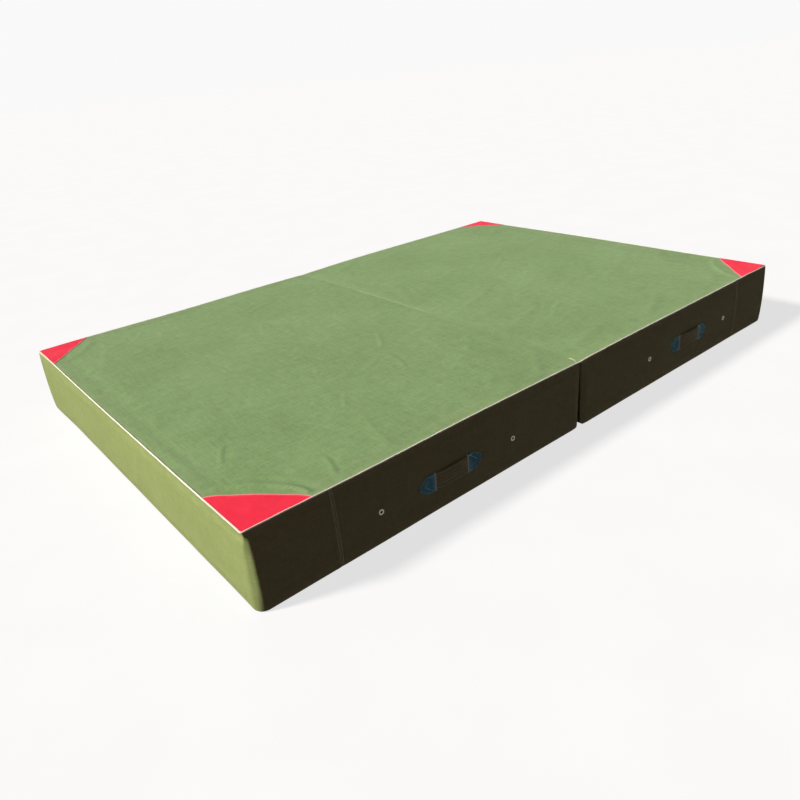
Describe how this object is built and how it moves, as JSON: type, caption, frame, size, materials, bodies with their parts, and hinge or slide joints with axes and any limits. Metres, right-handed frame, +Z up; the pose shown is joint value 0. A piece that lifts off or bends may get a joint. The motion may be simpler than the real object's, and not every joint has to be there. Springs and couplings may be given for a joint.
{
  "type": "folding crash landing mat",
  "caption": "Thick foam landing mat in two halves under one canvas top, folding top to top, with side handles, vent eyelets and red top corners.",
  "frame": {"origin": "on the floor, under the middle of the fold, with the mat laid flat", "axes": "+X along the 3 m length towards half B, +Y from the front long side to the back one, +Z up"},
  "size_m": [3.0072, 2.0276, 0.3018],
  "materials": {
    "top_canvas": "matte woven canvas, moss green",
    "side_canvas": "matte woven canvas, olive green",
    "base_canvas": "matte coated cloth with a fine grip",
    "piping": "smooth cream piping",
    "red_patch": "matte coated cloth, bright red",
    "blue_patch": "matte cloth, blue",
    "soft_foam": "open-cell foam",
    "firm_foam": "bonded chip foam",
    "nickel": "nickel plate, satin",
    "zip_coil": "woven tape and moulded coil"
  },
  "bodies": {
    "half_a": {"foam_core_a": "soft_foam", "landing_layer_a": "firm_foam", "top_panel_a": "top_canvas", "base_panel_a": "base_canvas", "end_gusset_a": "side_canvas", "fold_face_upper_a": "side_canvas", "fold_face_lower_a": "side_canvas", "zip_chain_a": "zip_coil", "piping_a": "piping", "side_panel_front_a": "side_canvas", "corner_patch_front_a": "red_patch", "handle_patch_front_a_left": "blue_patch", "handle_patch_front_a_right": "blue_patch", "vent_eyelet_front_a_1": "nickel", "vent_eyelet_front_a_2": "nickel", "vent_washer_front_a_1": "nickel", "vent_washer_front_a_2": "nickel", "side_panel_back_a": "side_canvas", "corner_patch_back_a": "red_patch", "handle_patch_back_a_left": "blue_patch", "handle_patch_back_a_right": "blue_patch", "vent_eyelet_back_a_1": "nickel", "vent_eyelet_back_a_2": "nickel", "vent_washer_back_a_1": "nickel", "vent_washer_back_a_2": "nickel", "fold_web": "top_canvas"},
    "handle_front_a": {"handle_strap_front_a": "side_canvas"},
    "handle_back_a": {"handle_strap_back_a": "side_canvas"},
    "slider_a": {"zip_slider_a": "nickel"},
    "pull_a": {"zip_pull_a": "nickel"},
    "half_b": {"foam_core_b": "soft_foam", "landing_layer_b": "firm_foam", "top_panel_b": "top_canvas", "base_panel_b": "base_canvas", "end_gusset_b": "side_canvas", "fold_face_upper_b": "side_canvas", "fold_face_lower_b": "side_canvas", "zip_chain_b": "zip_coil", "piping_b": "piping", "side_panel_front_b": "side_canvas", "corner_patch_front_b": "red_patch", "handle_patch_front_b_left": "blue_patch", "handle_patch_front_b_right": "blue_patch", "vent_eyelet_front_b_1": "nickel", "vent_eyelet_front_b_2": "nickel", "vent_washer_front_b_1": "nickel", "vent_washer_front_b_2": "nickel", "side_panel_back_b": "side_canvas", "corner_patch_back_b": "red_patch", "handle_patch_back_b_left": "blue_patch", "handle_patch_back_b_right": "blue_patch", "vent_eyelet_back_b_1": "nickel", "vent_eyelet_back_b_2": "nickel", "vent_washer_back_b_1": "nickel", "vent_washer_back_b_2": "nickel"},
    "handle_front_b": {"handle_strap_front_b": "side_canvas"},
    "handle_back_b": {"handle_strap_back_b": "side_canvas"},
    "slider_b": {"zip_slider_b": "nickel"},
    "pull_b": {"zip_pull_b": "nickel"}
  },
  "joints": [
    {"name": "fold_hinge", "type": "hinge", "parent": "half_a", "child": "half_b", "pos_m": [0, 0, 0.311], "axis": [0, -1, 0], "range_deg": [0, 179.9], "deforming": ["fold_web"]},
    {"name": "handle_front_a_lift", "type": "slide", "parent": "half_a", "child": "handle_front_a", "axis": [0, -1, 0], "range_m": [0, 0.025]},
    {"name": "handle_back_a_lift", "type": "slide", "parent": "half_a", "child": "handle_back_a", "axis": [0, 1, 0], "range_m": [0, 0.025]},
    {"name": "zip_a_slide", "type": "slide", "parent": "half_a", "child": "slider_a", "axis": [0, 1, 0], "range_m": [0, 1.88]},
    {"name": "zip_a_pull_swing", "type": "hinge", "parent": "slider_a", "child": "pull_a", "pos_m": [-0.00773, -0.94, 0.085], "axis": [0.9996, 0, -0.0267], "range_deg": [-60, 60]},
    {"name": "handle_front_b_lift", "type": "slide", "parent": "half_b", "child": "handle_front_b", "axis": [0, -1, 0], "range_m": [0, 0.025]},
    {"name": "handle_back_b_lift", "type": "slide", "parent": "half_b", "child": "handle_back_b", "axis": [0, 1, 0], "range_m": [0, 0.025]},
    {"name": "zip_b_slide", "type": "slide", "parent": "half_b", "child": "slider_b", "axis": [0, -1, 0], "range_m": [0, 1.88]},
    {"name": "zip_b_pull_swing", "type": "hinge", "parent": "slider_b", "child": "pull_b", "pos_m": [0.00773, 0.94, 0.085], "axis": [-0.9996, 0, -0.0267], "range_deg": [-60, 60]}
  ]
}
